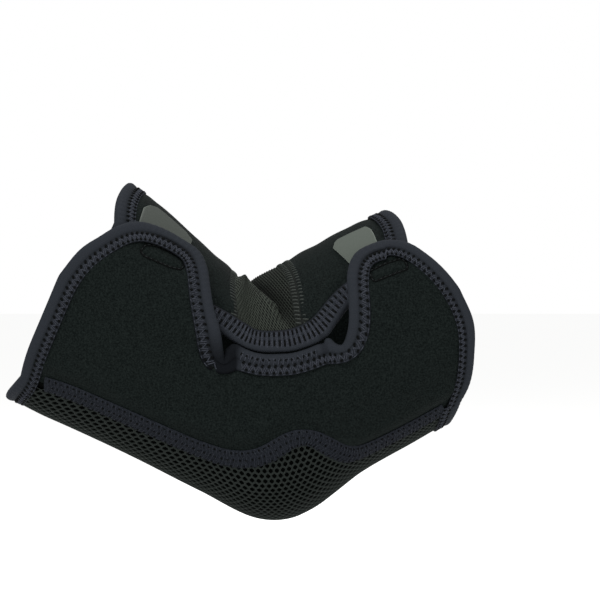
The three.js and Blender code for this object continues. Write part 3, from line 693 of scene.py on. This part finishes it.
def beside(edge, distance, depth):
    """The place `distance` mm along an edge and `depth` mm in from it, square to the edge."""
    soft = smooth(depth, 0.3, 4.5)
    narrow = np.interp(distance, edge["at"], edge["narrow"])
    depth = np.where(depth > 0, depth * (1 - narrow), depth)
    along, turn, run_along, run_turn = (
        np.interp(distance, edge["at"], sharp) * (1 - soft)
        + np.interp(distance, edge["at"], soft_line) * soft
        for sharp, soft_line in (
            *zip(edge["sharp"], edge["soft"]),
            *((np.gradient(eased(line, 3), edge["at"]), np.gradient(soft_line, edge["at"]))
              for line, soft_line in zip(edge["sharp"], edge["soft"])),
        )
    )
    lengthwise, round_arm, out = slopes(along, turn)
    heading = lengthwise * run_along[..., None] + round_arm * run_turn[..., None]
    heading /= np.linalg.norm(heading, axis=-1, keepdims=True)
    aim = np.cross(out, heading) * np.asarray(depth)[..., None]
    ll, rr, lr = ((u * v).sum(-1) for u, v in (
        (lengthwise, lengthwise), (round_arm, round_arm), (lengthwise, round_arm)))
    a, b = (aim * lengthwise).sum(-1), (aim * round_arm).sum(-1)
    det = ll * rr - lr * lr
    return along + (a * rr - b * lr) / det, turn + (b * ll - a * lr) / det


def rungs(edge, start, end, low, high, pitch, slant, offset=0.0):
    """Places of slanted strands across a stretch of edge, one to each pitch."""
    middle = np.arange(start + pitch / 2, end - pitch / 2, pitch) + offset
    share = np.linspace(0, 1, STRAND_POINTS)
    distance = middle[:, None] + slant * (share[None, :] - 0.5)
    depth = np.broadcast_to(low + (high - low) * share[None, :], distance.shape)
    return uncrowded(*beside(edge, distance, depth), CROWDED * pitch)


def uncrowded(along, turn, room):
    """Strands without those that lie closer than `room` mm to the one before, as in a corner."""
    ends = on_arm(along[:, [0, -1]], turn[:, [0, -1]])
    kept = [0]
    for i in range(1, len(ends)):
        if np.linalg.norm(ends[i] - ends[kept[-1]], axis=-1).min() > room:
            kept.append(i)
    return along[kept], turn[kept]


def arch(count, crest, foot=-0.35):
    """Heights along a stitch: it comes up from below the face, lies flat and goes down."""
    share = np.linspace(-1, 1, count)
    return foot + (crest - foot) * (1 - np.abs(share) ** 4)


def box_pressed(places):
    """How high a box's thread lies over the panel's own thickness, clear of the pressed foam."""
    along, turn = places
    nearest = [
        np.argmin(((side_along - a) * SIDE_LENGTH) ** 2 + ((side_turn - t) * DEGREE) ** 2)
        for a, t in zip(along, turn)
    ]
    return eased(side_height.ravel()[nearest], 6) + 0.5


BOX_PITCH, BOX_STITCH = 2.0, 0.72  # pitch, and the share of it that a stitch fills
BOX_POINTS = 6


def box_stitches(name, corners):
    """A closed line of stitches in the foam, over a near-black strand that paints the shade in its
    furrow.
    """
    closed = corners + corners[:1]
    fine = [np.concatenate([np.linspace(p[k], q[k], 30) for p, q in zip(closed, closed[1:])])
            for k in (0, 1)]
    edge = paced(fine[0], fine[1], 0.5)
    foam = box_pressed(edge["sharp"])
    middle = np.arange(BOX_PITCH / 2, edge["at"][-1], BOX_PITCH)
    reach = BOX_STITCH * BOX_PITCH * (np.linspace(0, 1, BOX_POINTS) - 0.5)
    distance = middle[:, None] + reach[None, :]
    along, turn = beside(edge, distance, np.zeros_like(distance))
    stitch_height = np.interp(distance, edge["at"], foam) + 0.02 + arch(BOX_POINTS, 0.2)
    threads = strands(f"{name}_threads", along, turn, NEOPRENE + lift(along, turn) + stitch_height,
                      0.4, 0.3, box_thread_finish)
    # A near-black strand along the line paints the furrow's shade
    whole = edge["at"][None, :]
    along, turn = beside(edge, whole, np.zeros_like(whole))
    furrow_shade = strands(f"{name}_furrow", along, turn, NEOPRENE + lift(along, turn) + foam - 0.08,
                     0.95, 0.4, needle_thread_and_shade_finish, sides=8)
    return [threads, furrow_shade]


wing_boxes = [*box_stitches("upper_box", UPPER_BOX), *box_stitches("forearm_box", FORE_BOX)]

# Hook tabs.
# Moulded grey hook tape, cut with slanted corners. Each is sewn under a wing's tip and its free
# end grips the front panel's jersey.
# A row is a turn, and where the tab starts and ends along the arm there
UPPER_TAB = [
    (16.5, 0.118, 0.21), (20, 0.096, 0.24), (26, 0.085, 0.242), (37, 0.093, 0.243),
    (53, 0.128, 0.244),
]
FORE_TAB = [
    (20.5, 0.85, 0.925), (22.5, 0.838, 0.93), (26.5, 0.83, 0.936), (33, 0.84, 0.938),
    (41, 0.853, 0.938), (50, 0.868, 0.936),
]
TAB = 0.8
TAB_ROOM = 0.3
TAB_RIM = 0.22  # how much lower its moulded rim lies

# The upper tab is the same grey hook tape as the forearm tab, darkened as painted shade
upper_tab_shaded_finish = painted_shading_finish("grey hook tape in painted shade", (0.029, 0.0325, 0.029), (0.056, 0.062, 0.056), 0.5)
fore_tab_finish = painted_shading_finish("grey hook tape", (0.043, 0.0495, 0.043), (0.078, 0.088, 0.078), 0.5)


def hook_tab(name, rows, node, finish):
    """A flat tab between its rows' starts and ends; its outermost ring is pressed down and has a painted
    highlight.
    """
    turns = np.array([r[0] for r in rows], float)
    turn = np.unique(np.concatenate([turns, np.linspace(turns[0], turns[-1], 60)]))
    start, end = (np.interp(turn, turns, [r[k] for r in rows]) for k in (1, 2))
    across = np.concatenate([[0, 0.02, 0.04], np.linspace(0.06, 0.94, 30), [0.96, 0.98, 1]])
    along = start[:, None] + (end - start)[:, None] * across[None, :]
    turn = np.broadcast_to(turn[:, None], along.shape)
    rim = np.zeros(along.shape)
    rim[:, (0, -1)] = 1
    rim[(0, -1), :] = 1
    top = NEOPRENE + TAB_ROOM + TAB - TAB_RIM * rim
    piece, used = wall(name, along.T, turn.T, NEOPRENE + TAB_ROOM, top.T, finish)
    # The rim ring is also painted lighter, a painted highlight on the tab's edge
    keep_painted_shading(piece, rim.T.ravel()[used])
    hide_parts(node)


hook_tab("upper_hook_tab", UPPER_TAB, "upper_tab", upper_tab_shaded_finish)
hook_tab("forearm_hook_tab", FORE_TAB, "forearm_tab", fore_tab_finish)

# Bindings.
# Knitted navy tape folded over every raw edge and sewn down with a cover stitch: first a smooth
# fold, then slanted threads between two lines of dark needle holes. One length goes round the
# whole outer edge, and one holds the front edge.
STITCH = 2.5  # pitch of the cover stitch
EDGE_STEP = 0.7  # from one section of the tape to the next
# The folded tape's section, from its inner border over the fold to the arm's side and back:
# depth in from the edge, height above the arm, and how light it lies, as painted shading:
# painted light on the fold, painted shade in its groove, a painted shadow line at its inner border
TAPE_SECTION = [
    (7.2, 2.35, 0.08), (7.35, 2.8, 0.2), (7.05, 3.04, 0.5), (6.3, 3.02, 0.76), (5.0, 3.1, 0.8),
    (3.7, 3.06, 0.74), (3.1, 2.98, 0.56), (2.6, 3.14, 0.76), (1.9, 3.36, 0.86), (0.8, 3.5, 0.9),
    (-0.2, 3.36, 0.9), (-0.95, 2.9, 0.9), (-1.25, 2.0, 0.84), (-1.25, 0.7, 0.84),
    (-0.9, -0.4, 0.75), (0, -0.95, 0.75), (3, -1.0, 0.75), (6.9, -0.9, 0.7), (7.0, -0.5, 0.7),
    (6.9, -0.25, 0.7), (3, -0.25, 0.7), (-0.2, -0.2, 0.7), (-0.45, 1.2, 0.7), (-0.2, 2.3, 0.7),
    (2, 2.35, 0.7), (4.5, 2.35, 0.7),
]
# The part of the section that stitches lie on, as depth and height
TAPE_TOP = sorted((depth, height) for depth, height, _ in TAPE_SECTION[1:12])
tape_finish = painted_shading_finish("navy tape", (0.0008, 0.001, 0.0014), (0.0108, 0.0124, 0.0152), 0.78)


def painted_tape_shade(edge, section):
    """Painted shade on the tape: in the groove beside the fold at both wings' tips, and inside the slit.
    """
    along, turn = edge["sharp"]
    tip_groove_shade = bump(along - 0.19, 0.06) * (turn < 50)
    tip_groove_shade += bump(along - 0.93, 0.05) * (turn < 56)
    fold = bump(section[:, 0] - 3.1, 0.5) * (section[:, 1] > 2)
    return (1 - 0.85 * np.outer(tip_groove_shade, fold)) * (1 - 0.9 * slit_shade(along, turn))[:, None]


def slit_shade(along, turn):
    """How much painted shade a place gets: much inside the slit, less in the deep corner at the other
    wing.
    """
    slit = bump(np.clip(np.abs(along - 0.432) - 0.018, 0, None), 0.026)
    corner = bump(along - 0.735, 0.010)
    return np.maximum(0.78 * slit * (turn > 66), 0.35 * corner * (turn > 60)) * (turn < 90)


def tape(name, edge, nodes, rides=1):
    """Tape folded over an edge. It rides up with the wings, unless the edge lies on the arm."""
    at = edge["at"]
    section = np.array(TAPE_SECTION)
    fold = bump(section[:, 0] - 0.6, 1.9) * (section[:, 1] > 1.5)
    pulled = 0.13 * np.cos(2 * np.pi * at / STITCH) + 0.12 * np.sin(at / 5.3) * np.sin(at / 13.7)
    distance = np.repeat(at[:, None], len(section), 1)
    depth = np.broadcast_to(section[None, :, 0], distance.shape)
    along, turn = beside(edge, distance, depth)
    inside = beside(edge, distance, np.maximum(depth, 0))
    height = section[None, :, 1] + fold[None, :] * pulled[:, None] + rides * lift(*inside)
    points = raised(along, turn, height)
    n = len(section)
    first, k = np.arange(len(at) - 1)[:, None] * n, np.arange(n)[None, :]
    following = (k + 1) % n
    faces = band(first, first + n, k, following)
    # Each end is closed by a strip between the two sides of the section
    last = (len(at) - 1) * n
    caps = []
    for i in range(n // 2 - 1):
        strip = [i, i + 1, n - 2 - i, n - 1 - i]
        caps += [strip[::-1], [corner + last for corner in strip]]
    piece, used = sewn(name, points.reshape(-1, 3), np.concatenate([faces, caps]), tape_finish)
    keep_painted_shading(piece, (section[None, :, 2] * painted_tape_shade(edge, section)).ravel()[used])
    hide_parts(*nodes)
    return piece


def row_places(edge, rows, margin):
    """The strands of several rows. A row is its low, high, pitch, slant and offset."""
    places = [rungs(edge, margin, edge["at"][-1] - margin, *row) for row in rows]
    depth = [np.broadcast_to(np.linspace(row[0], row[1], STRAND_POINTS), place[0].shape)
             for row, place in zip(rows, places)]
    return (np.concatenate(part) for part in (*zip(*places), depth))


def stitch_rows(name, edge, rows, height, finish, wide, tall, rides=1):
    """Rows of strands in one piece, `height` mm above the tape's top. None shows in the slit."""
    along, turn, depth = row_places(edge, rows, 0.6)
    middle = STRAND_POINTS // 2
    # Strands are left out where the slit's painted shade is deep
    seen = slit_shade(along[:, middle], turn[:, middle]) < 0.35
    along, turn, depth = along[seen], turn[seen], depth[seen]
    top = np.interp(depth, *zip(*TAPE_TOP))
    raise_by = top + height + rides * lift(along, turn) + arch(STRAND_POINTS, tall * 0.5)
    piece = strands(name, along, turn, raise_by, wide, tall, finish)
    return piece


def cover_stitch(name, edge):
    """Looper threads that zigzag between two needle lines, whose stitches sink into the tape."""
    loopers = stitch_rows(
        f"{name}_loopers", edge,
        [(3.9, 6.5, STITCH, 1.0, 0.0), (3.8, 6.6, STITCH, 1.3, 0.7), (4.2, 6.2, STITCH, -1.2, 1.5)],
        0.02, thread_finish, 0.5, 0.36)
    # The needle rows are near-black dashes that paint the shade of the needle holes
    needles = stitch_rows(
        f"{name}_needles", edge,
        [(3.2, 4.3, STITCH, 0.9, 1.2), (6.05, 6.6, STITCH, 0.9, 1.9)],
        0.1, needle_thread_and_shade_finish, 1.0, 0.42)
    bars = stitch_rows(f"{name}_bars", edge, [(6.9, 6.95, STITCH, 1.35, 0.7)], 0.0, thread_finish,
                       0.45, 0.4)
    return [loopers, needles, bars]


def joined(*stretches):
    return tuple(np.concatenate(part) for part in zip(*stretches))


def backward(stretch):
    return stretch[0][::-1], stretch[1][::-1]


def far_cuff(rows):
    along, turn = crosswise(rows, np.linspace(0, 1, 120))
    return along, turn + 360


def mesh_cuff(end, seam_turn):
    share = np.linspace(0, 1, 60)
    return mesh_ends(share)[end], seam_turn + (360 - 2 * seam_turn) * share


# The outer edge runs as one: from the front's forearm corner round the forearm cuff, over the
# forearm wing, along the crook, round the slit, over the upper wing and round the upper cuff
outer_edge = paced(*joined(
    backward(far_cuff(FORE_CUFF)), backward(mesh_cuff(1, turn_at(MESH_SEAM, 1.0))),
    traced(SIDE_FORE_CUFF, 60), backward(side_outline()), backward(traced(SIDE_UPPER_CUFF, 60)),
    mesh_cuff(0, MESH_SEAM[0][1]), far_cuff(UPPER_CUFF)), EDGE_STEP)
# The tape is pulled tighter, and so lies narrower, on the forearm wing's outer edge
edge_along, edge_turn = outer_edge["sharp"]
outer_edge["narrow"] = 0.25 * smooth(edge_along, 0.91, 0.98) * ((edge_turn > 46) & (edge_turn < 150))
outer_binding = tape("outer_binding", outer_edge, [
    "upper_wing_binding", "upper_cuff_binding", "forearm_wing_binding", "forearm_cuff_binding"])
outer_stitches = cover_stitch("outer_binding", outer_edge)
# In the crook the same threads also cross the fold
at_crook = np.where((edge_along > CROOK_START + 0.03) & (edge_along < CROOK_END - 0.02)
                    & (edge_turn > 55) & (edge_turn < 80))[0]
crook_edge = {key: tuple(line[at_crook] for line in outer_edge[key]) for key in ("sharp", "soft")}
crook_edge["at"] = outer_edge["at"][at_crook] - outer_edge["at"][at_crook[0]]
crook_edge["narrow"] = np.zeros(len(at_crook))
outer_stitches += [
    stitch_rows("crook_threads", crook_edge,
                [(0.3, 3.4, 1.9, 0.8, 0.0), (0.6, 2.6, 2.6, -1.2, 1.1)], 0.02, thread_finish, 0.5,
                0.36),
    stitch_rows("crook_needles", crook_edge, [(0.9, 2.0, 2.3, 0.6, 0.5)], 0.04, needle_thread_and_shade_finish, 0.8,
                0.4),
]

# The front edge's tape lies on the arm, between the two cuffs and under both wings. Its stitch
# is a broad ladder.
LADDER = 2.2  # pitch of its rungs
front_along = np.linspace(FRONT_EDGE[0][0] + 0.05, FRONT_EDGE[-1][0] - 0.055, 200)
front_edge = paced(front_along, turn_at(FRONT_EDGE, front_along), EDGE_STEP)
front_binding = tape("front_edge_tape", front_edge, ["front_edge_binding"], rides=0)
front_stitches = [
    stitch_rows("front_edge_ladder", front_edge,
                [(-0.7, 7.1, LADDER, 0.25, 0.0), (-0.5, 6.9, LADDER, 0.25, 0.55)], 0.0,
                thread_finish, 0.56, 0.4, rides=0),
    # Its needle rows too are near-black dashes that paint the shade of the needle holes
    stitch_rows("front_edge_needles", front_edge,
                [(0.4, 3.4, LADDER, 0.1, 1.35), (4.4, 6.8, LADDER, 0.1, 1.35)], 0.0,
                needle_thread_and_shade_finish, 0.72, 0.4, rides=0),
]

# Flat seams.
# Two panels laid edge to edge and joined by a flat lock stitch: a low band of many slanted
# threads, and beside the mesh three rows of dark needle stitches.
SEAM_WIDTH, KNIT_UPPER_WIDTH, KNIT_FORE_WIDTH = 8.4, 4.4, 6.6
SEAM_STITCH, KNIT_STITCH = 1.55, 1.75
SEAM_COLUMNS = 15
SEAM_GROUND = 0.15  # thickness of the ground at its borders
seam_ground_finish = finish_of("seam ground", (0.004, 0.0048, 0.0062), (0.0095, 0.0108, 0.0138),
                               0.8, 0.7, 0.15)
seam_thread_finish = finish_of("seam thread", (0.005, 0.0058, 0.0078), (0.0135, 0.0152, 0.0192),
                               0.7, 0.4, 0.05)
grey_thread_finish = finish_of("grey thread", (0.012, 0.0138, 0.0125), (0.030, 0.0335, 0.0305),
                               0.7, 0.35, 0.05)
knit_seam_ground_finish = finish_of("knit seam ground", (0.0035, 0.0042, 0.0038),
                                    (0.0085, 0.0098, 0.0088), 0.85, 0.6, 0.1)


def flat_seam(name, edge, width, node, base, thick, ground_finish, groups):
    """A seam's low ground with its threads; each group of rows has its own finish and gauge."""
    distance = np.repeat(edge["at"][:, None], SEAM_COLUMNS, 1)
    depth = np.linspace(-width / 2, width / 2, SEAM_COLUMNS)[None, :] * np.ones_like(distance)
    along, turn = beside(edge, distance, depth)
    dome = 1 - np.abs(depth / (width / 2)) ** 4
    ground, _ = wall(f"{name}_ground", along[:, ::-1], turn[:, ::-1], base,
                     base + (SEAM_GROUND + thick * dome)[:, ::-1], ground_finish)
    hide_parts(node)
    for number, (rows, finish, wide, tall) in enumerate(groups):
        along, turn, side = row_places(edge, rows, 0.4)
        rise = thick * (1 - np.abs(side / (width / 2)) ** 4)
        thread = strands(f"{name}_threads_{number + 1}", along, turn,
                         base + SEAM_GROUND + rise + arch(STRAND_POINTS, tall * 0.5), wide, tall,
                         finish)


def mesh_seam_edge(side):
    along = np.linspace(SEAM_START + 0.04, 0.962, 400)
    turn = turn_at(MESH_SEAM, along)
    return paced(along, turn if side == "near" else 360 - turn, EDGE_STEP)


# Groups of rows, each with its finish, width and height. Depth grows towards the panel above.
MESH_SEAM_THREADS = [
    ([(-3.9, -1.2, SEAM_STITCH, 0.9, 0.0), (-1.4, 1.4, SEAM_STITCH, 0.5, 0.7),
      (1.2, 3.9, SEAM_STITCH, -0.7, 0.2)], seam_thread_finish, 0.55, 0.36),
    ([(-3.5, -2.7, STITCH, 0.5, 0.75), (-0.5, 0.4, STITCH, 0.5, 1.9), (2.7, 3.5, STITCH, 0.4, 0.6)],
     needle_thread_and_shade_finish, 0.85, 0.42),
]
for side, node in (("near", "near_mesh_seam"), ("far", "far_mesh_seam")):
    flat_seam(node, mesh_seam_edge(side), SEAM_WIDTH, node, NEOPRENE - 0.2, 0.5,
              seam_ground_finish, MESH_SEAM_THREADS)


def knit_side_edge(rows):
    share = CUT_OUT_START + (1 - CUT_OUT_START) * np.linspace(0.03, 0.93, 200)
    return paced(*crosswise(rows, share), EDGE_STEP)


flat_seam("knit_upper_seam", knit_side_edge(KNIT_UPPER_SIDE), KNIT_UPPER_WIDTH, "knit_upper_seam",
          NEOPRENE - 0.8, 0.3, knit_seam_ground_finish,
          [([(-1.9, 1.9, KNIT_STITCH, 1.1, 0.0)], grey_thread_finish, 0.62, 0.36)])
flat_seam("knit_forearm_seam", knit_side_edge(KNIT_FORE_SIDE), KNIT_FORE_WIDTH,
          "knit_forearm_seam", NEOPRENE - 0.75, 0.3, knit_seam_ground_finish,
          [([(-3.1, -0.2, KNIT_STITCH, 0.9, 0.0), (0.2, 3.1, KNIT_STITCH, 0.9, 0.8)],
            grey_thread_finish, 0.62, 0.36)])

# Studio.
# A pale floor well below the brace, which the arm holds up, and broad soft lights.
FLOOR_Z = -0.12
FLOOR_SIDE = 30.0  # from its middle to each border, in metres
PALE = (0.96, 0.96, 0.955)


def pale_floor():
    mesh = bpy.data.meshes.new("floor")
    mesh.from_pydata([(x * FLOOR_SIDE, y * FLOOR_SIDE, FLOOR_Z)
                      for x, y in ((-1, -1), (1, -1), (1, 1), (-1, 1))], [], [(0, 1, 2, 3)])
    material = bpy.data.materials.new("pale floor")
    material.use_nodes = True
    shader = material.node_tree.nodes["Principled BSDF"]
    set_inputs(shader, {"Base Color": (*PALE, 1), "Roughness": 0.95, "Specular IOR Level": 0.0})
    mesh.materials.append(material)
    floor = put("floor", mesh)


LIGHT_AIM = Vector((0, 0, 0.03))


def soft_light(name, place, size, power):
    lamp = bpy.data.lights.new(name, "AREA")
    lamp.shape = "DISK"
    lamp.size = size
    lamp.energy = power
    light = put(name, lamp)
    light.location = place
    light.rotation_euler = (LIGHT_AIM - Vector(place)).to_track_quat("-Z", "Y").to_euler()


pale_floor()
soft_light("key", (-0.55, -0.9, 0.95), 0.7, 20)
soft_light("fill", (0.95, -0.9, 0.35), 0.9, 7)
soft_light("top", (0.1, 0.35, 1.2), 0.8, 12)
world = bpy.data.worlds.new("pale room")
world.use_nodes = True
set_inputs(world.node_tree.nodes["Background"], {"Color": (1, 1, 1, 1), "Strength": 1.0})
bpy.context.scene.world = world
bpy.context.scene.view_settings.view_transform = "Standard"

CAMERA_DISTANCE = 1.0
CAMERA_AIM = (0.0063, 0.0, 0.0588)
FRAME_WIDTH = 0.252  # what the picture takes in at the brace's middle, in metres
SENSOR = 36
camera_data = bpy.data.cameras.new("camera")
camera_data.sensor_width = SENSOR
camera_data.lens = SENSOR * CAMERA_DISTANCE / FRAME_WIDTH
camera = put("camera", camera_data)
camera.location = (CAMERA_AIM[0], -CAMERA_DISTANCE, CAMERA_AIM[2])
camera.rotation_euler = (np.pi / 2, 0, 0)
bpy.context.scene.camera = camera
